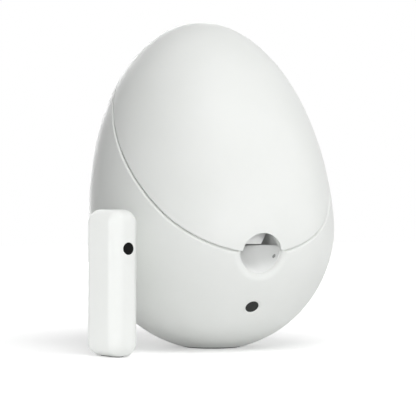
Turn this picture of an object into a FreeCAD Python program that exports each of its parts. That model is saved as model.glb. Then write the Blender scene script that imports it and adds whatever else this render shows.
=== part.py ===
"""Treat tossing pet camera: an egg-shaped dispenser with a small upright camera unit beside it.

Millimetres. +Z is up, the front faces -Y, X = 0 is the plane of symmetry of the egg,
and the origin is the centre of the round foot on the surface the set stands on.
"""
import FreeCAD
import Part
import math
import os

Vector = FreeCAD.Vector
Placement = FreeCAD.Placement
Rotation = FreeCAD.Rotation
X_AXIS = Vector(1, 0, 0)
Y_AXIS = Vector(0, 1, 0)
Z_AXIS = Vector(0, 0, 1)

# ---- Egg: a hemisphere below, half an ellipsoid above, leaning back ------------------------------
egg_radius = 84.0
crown_length = 145.25
lean_angle = 12.4
wall = 3.0
foot_cut = 3.0            # how far the round bottom is cut off flat
foot_proud = 0.8          # rubber pad standing out of the flat
floor_thickness = 3.0

# ---- Parting line between the base and the lid ---------------------------------------------------
seam_angle = 46.7
seam_height = 48.6        # distance of the parting plane from the egg's centre
seam_gap = 0.7
base_rim_round = 1.3
lid_rim_round = 0.8

# ---- General fits and fasteners ------------------------------------------------------------------
loose_gap = 0.4           # moulded parts beside each other
seat_gap = 0.05           # flat faces that rest on each other
bush_gap = 0.04           # running fit of a shaft, on the radius
screw_radius = 1.25
screw_pilot_radius = 1.28
screw_head_radius = 2.4
screw_head_height = 1.5
post_radius = 3.0
frame_screw_radius = 0.95     # screws through the side plates
frame_pilot_radius = 0.97
frame_clearance_radius = 1.05
board_screw_radius = 0.85     # screws of the small boards and the speaker
board_pilot_radius = 0.9
board_clearance_radius = 1.0

# ---- Lid hinge -----------------------------------------------------------------------------------
hinge_radius = 3.6
hinge_pin_radius = 1.25
hinge_offset = 1.0        # axis outside the shell
hinge_lid_width = 14.0
hinge_lug_width = 8.0
hinge_gap = 0.4

# ---- Treat exit ----------------------------------------------------------------------------------
exit_radius = 14.0
collar_wall = 1.8
collar_depth = 7.0
chute_slope = 35.0
chute_wall = 1.5
lip_round = 4.5
sensor_radius = 1.3
# Places behind and above the middle of the treat exit:
chute_top_rise = 5.73     # upper edge of the chute's side walls
chute_length = 31.36
chute_block_start = 6.36
chute_block_end = 26.36
chute_block_rise = -3.77
sensor_place = (9.36, -1.27)
chute_screw_places = [(12.56, -2.67), (18.36, -1.07)]
plate_outline = [(10.36, 5.23), (10.36, -1.27), (13.36, -5.27), (26.36, -5.27), (32.36, 0.73),
                 (35.36, 22.73), (31.36, 34.73), (13.86, 29.73)]

# ---- Hopper --------------------------------------------------------------------------------------
deck_depth = 2.5          # deck top below the parting plane
deck_thickness = 2.4
ledge_width = 5.5
ledge_thickness = 2.6
tub_wall = 2.0
tub_slope = 32.0          # slope of the tub floor against the table
tub_rear_inset = 26.87    # rear wall of the tub from the skin, along the parting plane
tub_post_gap = 0.8        # between the tub and the rear screw posts
tub_funnel_length = 36.0  # behind the cowl
hopper_screw_inset = 9.5
hopper_front_screws = 18.24         # behind the drum's casing
hopper_rear_screws = 15.0           # ahead of the tub's rear wall

# ---- Dispensing drum -----------------------------------------------------------------------------
drum_behind_exit = 34.36
drum_above_exit = 40.73
drum_radius = 17.0
drum_half_width = 13.0
drum_side_gap = 0.6
drum_casing_gap = 0.6
casing_wall = 1.6
pocket_count = 5
pocket_radius = 6.3
pocket_place = 14.0
drum_shaft_radius = 2.0
hood_start = 10.0         # below the horizontal, at the front
hood_end = 100.0          # over the top
saddle_start = 80.0       # below the horizontal, at the front
cheek_thickness = 2.0
plate_thickness = 2.4

# ---- Gears ---------------------------------------------------------------------------------------
gear_module = 1.0
gear_teeth = 32
pinion_teeth = 20
gear_width = 3.6
gear_gap = 1.4            # between the side plate and the gear
pressure_angle = 20.0
tooth_thinning = 0.09     # taken off each flank
centre_slack = 0.1
pinion_direction = 55.0   # below the horizontal, to the rear
motor_radius = 6.0
motor_length = 24.0
motor_shaft_radius = 1.5

# ---- Kicker --------------------------------------------------------------------------------------
kicker_ahead = 11.5       # of the drum's axis
kicker_below = 19.5       # the drum's axis
kicker_boss_radius = 3.2
kicker_shaft_radius = 1.5
kicker_gap = 0.7          # under the flap, over the chute's side walls
kicker_shoulder_drop = 7.0          # from the axis to where the taper starts
kicker_low_half = 9.0
kicker_half = 13.1
kicker_thickness = 2.0
servo_length = 20.0
servo_width = 8.6
servo_height = 17.0
servo_tab = 4.5
servo_tab_thickness = 1.6
servo_standoff = 2.4

# ---- Cowl over the mechanism ---------------------------------------------------------------------
cowl_inset = 7.5
cowl_wall = 1.6
cowl_servo_gap = 6.85
cowl_gear_gap = 3.75
cowl_top = 29.2           # above the parting plane
cowl_behind_casing = 12.24
window_behind_casing = 7.54         # rear edge of the deck's opening for the mechanism
cowl_round = 5.0
wiper_thickness = 1.2
wiper_low = 7.5           # lower edge of the wiper, above the parting plane

# ---- Magnets and seal ----------------------------------------------------------------------------
magnet_radius = 3.0
magnet_thickness = 2.0
magnet_inset = 12.0       # from the skin, in the parting plane
magnet_turn = 30.0
seal_gap = 0.35
seal_width = 1.7
seal_play = 0.35          # left under the lid's rim

# ---- Things set into the round wall: angle below the horizontal, turn from the rear --------------
camera_drop = 37.8
camera_turn = 180.0
camera_window_radius = 4.5
camera_window_thickness = 1.4
camera_dish_depth = 0.8     # of the countersink round the window
camera_dish_slope = 2.8     # how far it spreads for each millimetre of depth
camera_lens_radius = 3.6
camera_lens_length = 9.0
camera_board_size = 16.0
speaker_drop = 20.0
speaker_radius = 16.0
speaker_depth = 8.0
grille_pitch = 3.6
grille_hole_radius = 0.9
jack_drop = 50.0
jack_radius = 4.4
jack_length = 14.0
jack_bore_radius = 2.9
jack_pin_radius = 1.0
button_drop = 40.0
button_turn = 24.0
button_radius = 3.5
button_travel = 0.8
button_proud = 0.8
light_radius = 1.2
light_offset = 8.5
board_thickness = 1.2

# ---- Main board, ballast and foot ----------------------------------------------------------------
main_board_width = 60.0
main_board_height = 40.0
main_board_inset = 15.0   # from the rearmost skin
main_board_rise = 16.2    # above the egg's centre
main_board_margin = 4.0
ballast_side_gap = 44.0   # from the egg's widest line
ballast_low = 8.0
ballast_thickness = 13.0
ballast_post_place = 24.0
foot_pad_radius = 21.0
foot_pad_depth = 1.2      # set into the floor

# ---- Camera unit ---------------------------------------------------------------------------------
unit_beside_egg = 6.1
unit_y = -46.2
unit_turn = 15.3
unit_width = 20.9
unit_depth = 36.5
unit_height = 94.4
unit_edge_round = 9.2
unit_end_round = 9.0
unit_wall = 1.8
unit_foot_proud = 0.6
unit_pad_width = 6.4
unit_pad_length = 21.0
unit_pad_thickness = 1.4
unit_cover_width = 11.0
unit_cover_length = 25.0
unit_cover_thickness = 2.6
unit_lens_down = 24.9     # from the top
unit_window_radius = 3.95
unit_window_thickness = 1.2
unit_lens_radius = 3.1
unit_lens_length = 8.0
unit_board_width = 15.0
unit_board_low = 12.0
unit_board_top_gap = 8.4
unit_battery_radius = 7.0
unit_battery_gap = 6.5    # from the cell's top to the button's axis
unit_battery_y = 6.0
unit_battery_z = 22.0
unit_button_down = 15.9   # from the top
unit_button_radius = 2.6
unit_button_travel = 0.6
unit_button_proud = 0.5
unit_port_z = 14.0
unit_port_height = 9.0
unit_port_width = 3.2

# ---- Places that follow from the sizes above -----------------------------------------------------
egg_centre_z = egg_radius - foot_cut + foot_proud
egg_centre = Vector(0, 0, egg_centre_z)
egg_frame = Placement(egg_centre, Rotation(X_AXIS, -lean_angle))
seam_rotation = Rotation(X_AXIS, seam_angle)
seam_normal = seam_rotation.multVec(Z_AXIS)
seam_rise = seam_rotation.multVec(Y_AXIS)
seam_frame = Placement(egg_centre + seam_normal * seam_height, seam_rotation)
exit_reach = math.sqrt(egg_radius ** 2 - seam_height ** 2)
exit_point = seam_frame.multVec(Vector(0, -exit_reach, 0))
exit_drop = math.degrees(math.asin((egg_centre_z - exit_point.z) / egg_radius))
floor_top = foot_proud + floor_thickness
drum_y = exit_point.y + drum_behind_exit
drum_z = exit_point.z + drum_above_exit
kicker_y = drum_y - kicker_ahead
kicker_z = drum_z - kicker_below
drum_axis = Vector(0, drum_y, drum_z)
kicker_axis = Vector(0, kicker_y, kicker_z)
chute_top = exit_point.z + chute_top_rise
main_board_y = egg_radius - main_board_inset
ballast_radius = egg_radius - ballast_side_gap
main_board_z = egg_centre_z + main_board_rise
casing_inner = drum_radius + drum_casing_gap
casing_outer = casing_inner + casing_wall
cheek_inner = drum_half_width + drum_side_gap
cheek_outer = cheek_inner + cheek_thickness
plate_inner = cheek_outer + seat_gap
plate_outer = plate_inner + plate_thickness
gear_start = plate_outer + gear_gap
centre_distance = gear_module * (gear_teeth + pinion_teeth) / 2 + centre_slack
pinion_y = drum_y + centre_distance * math.cos(math.radians(pinion_direction))
pinion_z = drum_z - centre_distance * math.sin(math.radians(pinion_direction))
servo_face = plate_outer + 0.1
shaft_end = gear_start + gear_width + 1.2
cowl_left = -(servo_face + servo_height + cowl_servo_gap)
cowl_right = shaft_end + cowl_gear_gap
unit_lens_z = unit_height - unit_lens_down
unit_button_z = unit_height - unit_button_down
unit_board_height = unit_height - unit_board_top_gap - unit_board_low
unit_battery_length = unit_button_z - unit_battery_gap - unit_battery_z
unit_frame = Placement(Vector(-egg_radius - unit_beside_egg, unit_y, 0), Rotation(Z_AXIS, unit_turn))
FAR = 400.0


# ---- Helpers -------------------------------------------------------------------------------------
def cylinder(radius, start, end, axis=Z_AXIS, centre=Vector(0, 0, 0)):
    """Round bar along an axis through centre, from start to end measured along it."""
    return Part.makeCylinder(radius, end - start, centre + axis * start, axis)


def block(x0, x1, y0, y1, z0, z1):
    return Part.makeBox(x1 - x0, y1 - y0, z1 - z0, Vector(x0, y0, z0))


def placed(shape, frame):
    moved = shape.copy()
    moved.Placement = frame.multiply(moved.Placement)
    return moved


def joined(first, *others):
    result = first
    for other in others:
        result = result.fuse(other)
    return result.removeSplitter()


def mirrored(shape):
    return shape.mirror(Vector(0, 0, 0), X_AXIS)


def prism(points, axis, start, end):
    """Extrusion of a polygon; points are (y, z) pairs along X, (x, y) pairs along Z."""
    if axis == "x":
        corners = [Vector(start, a, b) for a, b in points]
        push = Vector(end - start, 0, 0)
    else:
        corners = [Vector(a, b, start) for a, b in points]
        push = Vector(0, 0, end - start)
    return Part.Face(Part.makePolygon(corners + corners[:1])).extrude(push)


def slot_bar(width, length, z0, z1):
    """Upright bar with a rounded-end outline, long along Y."""
    radius = width / 2
    half = length / 2 - radius
    middle = block(-radius, radius, -half, half, z0, z1)
    ends = [cylinder(radius, z0, z1, Z_AXIS, Vector(0, side * half, 0)) for side in (-1, 1)]
    return joined(middle, *ends)


def make_egg(inset):
    low = egg_radius - inset
    high = crown_length - inset
    foot = Vector(0, 0, -low)
    equator = Vector(low, 0, 0)
    tip = Vector(0, 0, high)
    turn = math.radians(45)
    lower = Part.Arc(foot, Vector(low * math.sin(turn), 0, -low * math.cos(turn)), equator).toShape()
    ellipse = Part.Ellipse(tip, equator, Vector(0, 0, 0))
    upper = Part.ArcOfEllipse(ellipse, 0, math.pi / 2).toShape()
    outline = Part.Wire([lower, upper, Part.makeLine(tip, foot)])
    return placed(Part.Face(outline).revolve(Vector(0, 0, 0), Z_AXIS, 360), egg_frame)


egg_store = {}


def egg(inset=0.0):
    """The egg's outer form, drawn in by inset on every side."""
    if inset not in egg_store:
        egg_store[inset] = make_egg(inset)
    return egg_store[inset]


def seam_slab(low, high, y0=-FAR, y1=FAR, x0=-FAR, x1=FAR):
    """Box whose faces follow the parting plane."""
    return placed(block(x0, x1, y0, y1, low, high), seam_frame)


def wall_frame(drop, turn):
    """Frame on the round wall: Z points out of the egg, X stays level."""
    direction = Rotation(Z_AXIS, -turn).multiply(Rotation(X_AXIS, -(90 + drop)))
    return Placement(egg_centre + direction.multVec(Z_AXIS) * egg_radius, direction)


def screw(length, head=screw_head_radius, shank=screw_radius, height=screw_head_height):
    """Pan-head screw: head on the XY plane upwards, shank downwards, with a cross recess."""
    body = joined(cylinder(head, 0, height), cylinder(shank, -length, 0))
    arm = head * 0.65
    half = head * 0.14
    recess = joined(block(-arm, arm, -half, half, height * 0.45, height + 1),
                    block(-half, half, -arm, arm, height * 0.45, height + 1))
    body = body.cut(recess)
    rim = [edge for edge in body.Edges
           if isinstance(edge.Curve, Part.Circle) and abs(edge.Curve.Radius - head) < 1e-6
           and abs(edge.BoundBox.ZMax - height) < 1e-6]
    return body.makeFillet(height * 0.35, rim)


def moved(shape, x, y, z):
    return placed(shape, Placement(Vector(x, y, z), Rotation()))


def gear(teeth, width, bore):
    """Spur gear with involute flanks, about Z, with a tooth centred on +X."""
    pitch = gear_module * teeth / 2
    base = pitch * math.cos(math.radians(pressure_angle))
    tip = pitch + gear_module
    root = pitch - 1.25 * gear_module
    half_pitch = math.pi / (2 * teeth) - tooth_thinning / pitch
    flank_angle = math.tan(math.radians(pressure_angle)) - math.radians(pressure_angle)

    def involute(radius):
        """Half angle of the tooth at a radius."""
        reach = math.acos(min(1.0, base / radius))
        return half_pitch + flank_angle - (math.tan(reach) - reach)

    def point(radius, angle):
        return Vector(radius * math.cos(angle), radius * math.sin(angle), 0)

    start = max(base, root)
    middle = (start + tip) / 2
    edges = []
    step = 2 * math.pi / teeth
    for index in range(teeth):
        centre = index * step
        rising = [point(r, centre - involute(r)) for r in (start, middle, tip)]
        falling = [point(r, centre + involute(r)) for r in (tip, middle, start)]
        root_in = point(root, centre - involute(start))
        root_out = point(root, centre + involute(start))
        root_next = point(root, centre + step - involute(start))
        if start > root + 1e-6:
            edges.append(Part.makeLine(root_in, rising[0]))
        edges.append(Part.Arc(*rising).toShape())
        edges.append(Part.Arc(rising[2], point(tip, centre), falling[0]).toShape())
        edges.append(Part.Arc(*falling).toShape())
        if start > root + 1e-6:
            edges.append(Part.makeLine(falling[2], root_out))
        edges.append(Part.Arc(root_out, point(root, centre + step / 2), root_next).toShape())
    blank = Part.Face(Part.Wire(edges)).extrude(Vector(0, 0, width))
    return blank.cut(cylinder(bore, -1, width + 1))


def drum_sector(inner, outer, start, end, half_width):
    """Part of a tube about the drum axis; angles run up from the front horizontal."""
    tube = cylinder(outer, -half_width, half_width, X_AXIS)
    tube = tube.cut(cylinder(inner, -half_width, half_width, X_AXIS))
    steps = max(2, math.ceil((end - start) / 45))
    angles = [math.radians(start + (end - start) * step / steps) for step in range(steps + 1)]
    reach = outer * 2
    fan = [(0, 0)] + [(-reach * math.cos(angle), reach * math.sin(angle)) for angle in angles]
    return placed(tube.common(prism(fan, "x", -half_width, half_width)),
                  Placement(drum_axis, Rotation()))


def seam_point(x, y, z):
    """Place of a point in the parting frame: x, y along the plane, z out of it."""
    return seam_frame.inverse().multVec(Vector(x, y, z))


def from_exit(place):
    """(y, z) of a place given as a distance behind and above the middle of the treat exit."""
    return (exit_point.y + place[0], exit_point.z + place[1])


def reach_along(start, direction, inset=0.0):
    """Distance from a point inside the egg to its surface."""
    line = Part.makeLine(start, start + direction * FAR)
    inside = line.common(egg(inset))
    return max((vertex.Point - start).Length for vertex in inside.Vertexes)


def sized_fillet(shape, radius, keep):
    return shape.makeFillet(radius, [edge for edge in shape.Edges if keep(edge)])


parts = {}

# ---- Shared tools --------------------------------------------------------------------------------
exit_frame = wall_frame(exit_drop, 180)
exit_bore = placed(cylinder(exit_radius, -2 * collar_depth, egg_radius / 4), exit_frame)
chute_direction = Rotation(X_AXIS, 90 + chute_slope).multVec(Z_AXIS)
below_foot = block(-FAR, FAR, -FAR, FAR, -FAR, foot_proud)
below_floor = block(-FAR, FAR, -FAR, FAR, -FAR, floor_top)
seam_low = -seam_gap / 2
seam_high = seam_gap / 2
deck_top = -deck_depth
deck_low = deck_top - deck_thickness
ledge_top = deck_low - seat_gap
seam_origin = seam_frame.multVec(Vector(0, 0, 0))
rear_reach = reach_along(seam_origin, seam_rise)
hinge_y = rear_reach + hinge_offset
casing_rear = seam_point(0, drum_y + casing_inner, drum_z)
casing_middle = seam_point(0, drum_y, drum_z)
window_back = casing_rear.y + window_behind_casing
cowl_back = casing_rear.y + cowl_behind_casing
tub_end = rear_reach - tub_rear_inset
window_left = cowl_left + 2 * cowl_wall
window_right = cowl_right - 2 * cowl_wall
front_window = seam_slab(-FAR, FAR, -FAR, window_back, window_left, window_right)
inner_cavity = egg(wall).cut(below_floor)


def chute_bar(radius, start=-60.0, end=40.0):
    """Round bar along the chute, through the middle of the treat exit."""
    return cylinder(radius, start, end, chute_direction, exit_point)


def hinge_bar(radius, x0, x1):
    return placed(cylinder(radius, x0, x1, X_AXIS, Vector(0, hinge_y, 0)), seam_frame)


def seam_bar(radius, low, high, x, y):
    return placed(cylinder(radius, low, high, Z_AXIS, Vector(x, y, 0)), seam_frame)


def wall_bar(drop, turn, radius, start, end, x=0.0, y=0.0):
    return placed(cylinder(radius, start, end, Z_AXIS, Vector(x, y, 0)), wall_frame(drop, turn))


def on_wall(drop, turn, shape):
    return placed(shape, wall_frame(drop, turn))


hinge_half = hinge_lid_width / 2
hinge_lug_start = hinge_half + hinge_gap
hinge_lug_end = hinge_lug_start + hinge_lug_width
hopper_screws_at = []
for line in (casing_rear.y + hopper_front_screws, tub_end - hopper_rear_screws):
    half = reach_along(seam_frame.multVec(Vector(0, line, ledge_top)), X_AXIS, hopper_screw_inset)
    hopper_screws_at += [(-half, line), (half, line)]
tub_half_width = hopper_screws_at[-1][0] - post_radius - tub_post_gap - tub_wall
magnet_direction = Vector(math.cos(math.radians(magnet_turn)), -math.sin(math.radians(magnet_turn)), 0)
magnet_reach = reach_along(seam_origin, seam_rotation.multVec(magnet_direction)) - magnet_inset
magnets_at = []
for side in (-1, 1):
    magnets_at.append((side, side * magnet_reach * magnet_direction.x, magnet_reach * magnet_direction.y))

# ---- Base shell ----------------------------------------------------------------------------------
def on_outer_seam(edge):
    """Tells whether an edge is the outer rim of the base's parting face."""
    span = edge.LastParameter - edge.FirstParameter
    points = [edge.valueAt(edge.FirstParameter + span * share) for share in (0.1, 0.5, 0.9)]
    heights = [seam_frame.inverse().multVec(point).z for point in points]
    outside = not egg(wall / 2).isInside(points[1], 1e-3, True)
    return outside and all(min(abs(z - seam_low), abs(z - seam_high)) < 1e-4 for z in heights)


def on_lip(edge):
    """Tells whether an edge is where the chute comes out of the round wall."""
    middle = edge.valueAt((edge.FirstParameter + edge.LastParameter) / 2)
    offset = middle - exit_point
    from_axis = (offset - chute_direction * offset.dot(chute_direction)).Length
    from_centre = (middle - egg_centre).Length
    return abs(from_axis - exit_radius) < 0.01 and abs(from_centre - egg_radius) < 0.01


lower_egg = egg().common(seam_slab(-FAR, seam_low)).cut(below_foot)
rimmed = sized_fillet(lower_egg, base_rim_round, on_outer_seam)
scooped = sized_fillet(lower_egg.cut(chute_bar(exit_radius)), lip_round, on_lip)
base = rimmed.common(scooped).cut(inner_cavity)

ledge = egg(wall - 0.2).cut(egg(wall + ledge_width))
ledge = ledge.common(seam_slab(ledge_top - ledge_thickness, ledge_top)).cut(front_window)
ledge = ledge.cut(hinge_bar(hinge_radius + hinge_gap, -hinge_half - hinge_gap, hinge_half + hinge_gap))
additions = [ledge]
for x, y in hopper_screws_at:
    additions.append(seam_bar(post_radius, ledge_top - 9, ledge_top, x, y))


def wall_posts(drop, turn, places, radius, depth):
    """Posts standing on the inside of the round wall, ending depth below its outer surface."""
    posts = [wall_bar(drop, turn, radius, -depth, 0, x, y) for x, y in places]
    return [post.common(egg(wall / 2)) for post in posts]


camera_half = camera_board_size / 2 - 2.2
camera_places = [(-camera_half, camera_half), (camera_half, -camera_half)]
camera_window_seat = 0.3 + camera_window_thickness
camera_board_top = camera_window_seat + camera_lens_length + 0.3
additions += wall_posts(camera_drop, camera_turn, camera_places, 2.0, camera_board_top)
speaker_seat = wall + 3.4
speaker_collar = wall_bar(speaker_drop, 0, speaker_radius + 1.6, -speaker_seat, 0)
speaker_collar = speaker_collar.cut(wall_bar(speaker_drop, 0, speaker_radius - 1.2, -speaker_seat - 1, 1))
additions.append(speaker_collar.common(egg(wall / 2)))
speaker_places = [(speaker_radius + 2.2, 0), (-speaker_radius - 2.2, 0)]
additions += wall_posts(speaker_drop, 0, speaker_places, 2.4, speaker_seat)
jack_collar = wall_bar(jack_drop, 0, jack_radius + 1.8, -9, 0)
additions.append(jack_collar.common(egg(wall / 2)))
button_board_top = 10.4
button_board_places = [(-5.5, -4.5), (light_offset + 4.0, 4.5)]
additions += wall_posts(button_drop, button_turn, button_board_places, 2.0, button_board_top)
board_places = []
for side in (-1, 1):
    for level in (-1, 1):
        board_places.append((side * (main_board_width / 2 - main_board_margin),
                             main_board_z + level * (main_board_height / 2 - main_board_margin)))
main_board_back = main_board_y + board_thickness + seat_gap
for x, z in board_places:
    post = cylinder(post_radius, main_board_back, egg_radius * 1.2, Y_AXIS, Vector(x, 0, z))
    additions.append(post.common(egg(wall / 2)))
ballast_places = []
for quarter in range(4):
    angle = math.radians(45 + 90 * quarter)
    ballast_places.append((ballast_post_place * math.cos(angle), ballast_post_place * math.sin(angle)))
for x, y in ballast_places:
    additions.append(cylinder(post_radius, foot_proud + 2, ballast_low - seat_gap, Z_AXIS, Vector(x, y, 0)))
lug_bars = [hinge_bar(hinge_radius, hinge_lug_start, hinge_lug_end),
            hinge_bar(hinge_radius, -hinge_lug_end, -hinge_lug_start)]
base = base.cut(hinge_bar(hinge_radius + hinge_gap, -hinge_lug_start, hinge_lug_start))
base = base.multiFuse(additions + lug_bars)

cuts = [hinge_bar(hinge_pin_radius + bush_gap, -FAR, FAR)]
dish_inner = camera_window_radius + 0.05
camera_hole = wall_bar(camera_drop, camera_turn, dish_inner, -camera_window_seat, 1)
cuts.append(camera_hole)
camera_dish = Part.makeCone(dish_inner, dish_inner + 2 * camera_dish_depth * camera_dish_slope,
                            2 * camera_dish_depth, Vector(0, 0, -camera_dish_depth))
cuts.append(on_wall(camera_drop, camera_turn, camera_dish))
cuts.append(wall_bar(camera_drop, camera_turn, camera_lens_radius + 0.1, -10, 1))
for ring, count in ((0, 1), (1, 6), (2, 12)):
    for index in range(count):
        angle = 2 * math.pi * index / count
        place = (ring * grille_pitch * math.cos(angle), ring * grille_pitch * math.sin(angle))
        cuts.append(wall_bar(speaker_drop, 0, grille_hole_radius, -8, 3, *place))
cuts.append(wall_bar(jack_drop, 0, jack_radius + 0.05, -10, 3))
cuts.append(wall_bar(button_drop, button_turn, button_radius + 0.15, -4, 3))
cuts.append(wall_bar(button_drop, button_turn, light_radius + 0.05, -8, 3, light_offset))
cuts.append(cylinder(foot_pad_radius + 0.1, -1, foot_proud + foot_pad_depth))
for x, y in hopper_screws_at:
    cuts.append(seam_bar(screw_pilot_radius, ledge_top - 8, ledge_top + 1, x, y))
for x, z in board_places:
    cuts.append(cylinder(screw_pilot_radius, main_board_y - 1, main_board_back + 6, Y_AXIS, Vector(x, 0, z)))
for x, y in ballast_places:
    cuts.append(cylinder(screw_pilot_radius, foot_proud + 1.6, ballast_low + 1, Z_AXIS, Vector(x, y, 0)))
for x, y in camera_places:
    cuts.append(wall_bar(camera_drop, camera_turn, board_pilot_radius,
                         -camera_board_top - 1, -camera_board_top + 4, x, y))
for x, y in speaker_places:
    cuts.append(wall_bar(speaker_drop, 0, board_pilot_radius, -speaker_seat - 1, -speaker_seat + 3.6, x, y))
for x, y in button_board_places:
    cuts.append(wall_bar(button_drop, button_turn, board_pilot_radius,
                         -button_board_top - 1, -button_board_top + 4, x, y))
for cut in cuts:
    base = base.cut(cut)
parts["base_shell"] = base

# ---- Lid shell -----------------------------------------------------------------------------------
lid = egg().common(seam_slab(seam_high, FAR))
lid = sized_fillet(lid, lid_rim_round, on_outer_seam).cut(egg(wall))
collar = placed(cylinder(exit_radius + collar_wall, -collar_depth, 0), exit_frame)
collar = collar.common(egg(wall / 2)).common(seam_slab(seam_high, FAR))
magnet_boss = magnet_radius + 1.2
lid_additions = [collar]
for side, x, y in magnets_at:
    boss = block(magnet_reach - magnet_boss, magnet_reach + 3 * magnet_boss, -magnet_boss, magnet_boss,
                 seam_high, seam_high + magnet_thickness + 2)
    boss.rotate(Vector(0, 0, 0), Z_AXIS, -magnet_turn if side > 0 else 180 + magnet_turn)
    lid_additions.append(placed(boss, seam_frame).common(egg(wall / 2)))
for side in (-1, 1):
    ends = sorted((side * hinge_half, side * (hinge_lug_end + hinge_gap)))
    lid = lid.cut(hinge_bar(hinge_radius + hinge_gap, *ends))
lid = lid.multiFuse(lid_additions + [hinge_bar(hinge_radius, -hinge_half, hinge_half)])
lid_cuts = [exit_bore, hinge_bar(hinge_pin_radius + bush_gap, -FAR, FAR)]
for side, x, y in magnets_at:
    lid_cuts.append(seam_bar(magnet_radius + 0.02, 0, seam_high + magnet_thickness + 0.02, x, y))
for cut in lid_cuts:
    lid = lid.cut(cut)
parts["lid_shell"] = lid
parts["lid_hinge_pin"] = hinge_bar(hinge_pin_radius, -hinge_lug_end - 0.3, hinge_lug_end + 0.3)
magnet_low = seam_high + 0.01
parts["lid_magnets"] = Part.makeCompound(
    [seam_bar(magnet_radius, magnet_low, magnet_low + magnet_thickness, x, y) for side, x, y in magnets_at])

# ---- Hopper: the deck that closes the base, with the sloping treat tub ---------------------------
floor_angle = math.radians(seam_angle - tub_slope)
tub_drop = (tub_end - casing_rear.y) * math.tan(floor_angle)


def tub_form(grow, front, top):
    """Tub, grown by a wall: a side profile crossed with a funnel in plan."""
    side = [(front, top), (front, casing_rear.z - grow), (casing_rear.y, casing_rear.z - grow),
            (tub_end + grow, casing_rear.z - tub_drop - grow), (tub_end + grow, top)]
    throat = cheek_inner + grow
    wide = tub_half_width + grow
    half = [(throat, front), (throat, cowl_back + 1), (wide, cowl_back + tub_funnel_length),
            (wide, tub_end + grow)]
    plan = half + [(-x, y) for x, y in reversed(half)]
    form = prism(side, "x", -FAR, FAR).common(prism(plan, "z", -FAR, FAR))
    return placed(form, seam_frame).common(egg(wall + ledge_width + loose_gap + tub_wall - grow))


deck = egg(wall + loose_gap).common(seam_slab(deck_low, deck_top)).cut(front_window)
deck = deck.cut(hinge_bar(hinge_radius + 2 * hinge_gap, -hinge_lug_end - 1, hinge_lug_end + 1))
tub_outer = tub_form(tub_wall, casing_rear.y - tub_wall, deck_low + 0.5)
cheeks = []
for side in (-1, 1):
    ends = sorted((side * cheek_inner, side * cheek_outer))
    cheeks.append(cylinder(casing_outer, ends[0], ends[1], X_AXIS, drum_axis))
saddle = drum_sector(casing_inner, casing_outer, -180, -saddle_start, cheek_outer)
magnet_pads = [seam_bar(magnet_radius + 0.9, deck_low, seam_low - 0.4, x, y) for side, x, y in magnets_at]
cowl_tab_reach = 4.0
cowl_tab_half = 3.6
cowl_tab_thickness = 2.0
cowl_side_line = casing_middle.y + 7.3
cowl_rear_left = -28.0
cowl_rear_right = 22.0
cowl_screws_at = [(cowl_left - cowl_tab_reach, cowl_side_line),
                  (cowl_right + cowl_tab_reach, cowl_side_line),
                  (cowl_rear_left, cowl_back + cowl_tab_reach),
                  (cowl_rear_right, cowl_back + cowl_tab_reach)]
cowl_posts = [seam_bar(post_radius, deck_low - 4, deck_low + 1, x, y) for x, y in cowl_screws_at]
hopper = deck.multiFuse([tub_outer, saddle] + cheeks + magnet_pads + cowl_posts)
hopper = hopper.cut(tub_form(0.0, casing_middle.y, FAR / 4))
drum_space = cylinder(casing_inner, -cheek_inner, cheek_inner, X_AXIS, Vector(0, drum_y, drum_z))
shaft_space = cylinder(drum_shaft_radius * 2, -FAR / 4, FAR / 4, X_AXIS, Vector(0, drum_y, drum_z))
hopper = hopper.cut(drum_space).cut(shaft_space)
for x, y in hopper_screws_at:
    hopper = hopper.cut(seam_bar(screw_radius + 0.15, deck_low - 1, deck_top + 1, x, y))
for x, y in cowl_screws_at:
    hopper = hopper.cut(seam_bar(screw_pilot_radius, deck_low - 3, deck_top + 1, x, y))
for side, x, y in magnets_at:
    hopper = hopper.cut(seam_bar(magnet_radius + 0.02, seam_low - 0.42 - magnet_thickness, 0, x, y))


def on_drum(shape):
    return placed(shape, Placement(drum_axis, Rotation()))


def side_screws(places, start, length, side):
    """Small screws along X, heads outside, at (y, z) places."""
    body = screw(length, head=1.8, shank=frame_screw_radius, height=1.1)
    made = []
    for y, z in places:
        turned = placed(body, Placement(Vector(side * start, y, z), Rotation(Y_AXIS, side * 90)))
        made.append(turned)
    return made


frame_screw_places = []
for angle in (150.0, 215.0, 262.0):
    reach = (drum_radius + casing_outer) / 2 - 1.6
    turn = math.radians(angle)
    frame_screw_places.append((drum_y - reach * math.cos(turn), drum_z + reach * math.sin(turn)))
frame_screw_length = plate_thickness + cheek_thickness - 0.4
for side in (-1, 1):
    for y, z in frame_screw_places:
        ends = sorted((side * (plate_outer - frame_screw_length - 0.1), side * FAR / 4))
        hopper = hopper.cut(cylinder(frame_pilot_radius, ends[0], ends[1], X_AXIS, Vector(0, y, z)))
parts["hopper"] = hopper
parts["hopper_screws"] = Part.makeCompound(
    [placed(screw(8.0), seam_frame.multiply(Placement(Vector(x, y, deck_top + 0.01), Rotation())))
     for x, y in hopper_screws_at])
parts["base_magnets"] = Part.makeCompound(
    [seam_bar(magnet_radius, seam_low - 0.41 - magnet_thickness, seam_low - 0.41, x, y)
     for side, x, y in magnets_at])

seal = egg(wall + seal_gap).cut(egg(wall + seal_gap + seal_width))
seal = seal.common(seam_slab(deck_top + 0.02, seam_high - seal_play)).cut(front_window)
seal = seal.cut(hinge_bar(hinge_radius + 2 * hinge_gap, -hinge_lug_end - 1, hinge_lug_end + 1))
parts["lid_seal"] = seal

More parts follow.
